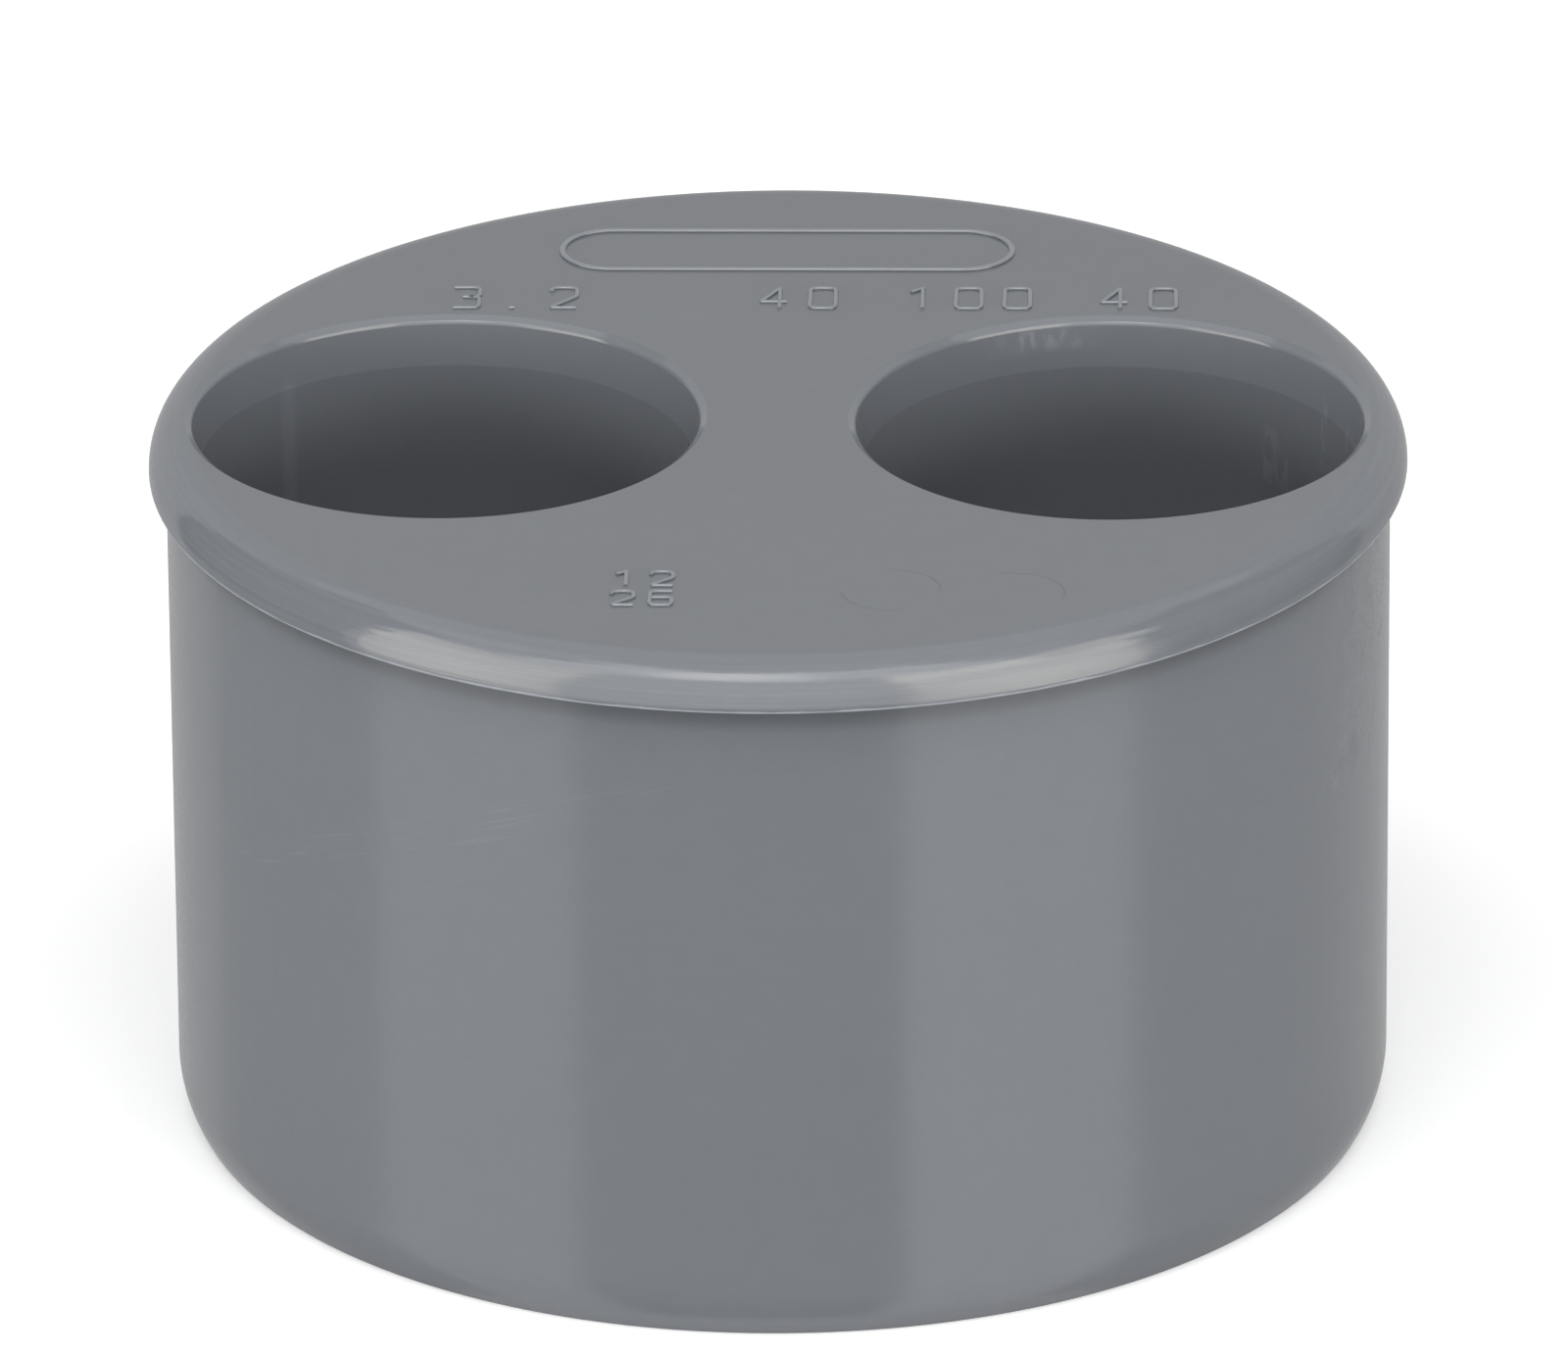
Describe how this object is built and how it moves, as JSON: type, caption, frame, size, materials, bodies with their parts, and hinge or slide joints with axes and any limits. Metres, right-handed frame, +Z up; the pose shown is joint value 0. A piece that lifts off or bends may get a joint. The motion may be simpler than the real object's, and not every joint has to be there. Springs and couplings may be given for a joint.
{
  "type": "double reducing bushing",
  "caption": "Moulded grey PVC reducing plug: a rimmed spigot for a large waste pipe socket, carrying twin smaller solvent sockets.",
  "frame": {"origin": "centre of the spigot's open lower end, on the plane that it stands on", "axes": "+Z up the spigot's axis to the sockets' mouths, +X through both socket axes"},
  "size_m": [0.1028, 0.1028, 0.0597],
  "materials": {
    "grey_pvc": "moulded, polished top and rim, satin wall"
  },
  "bodies": {
    "root": {"bushing_body": "grey_pvc"}
  },
  "joints": []
}
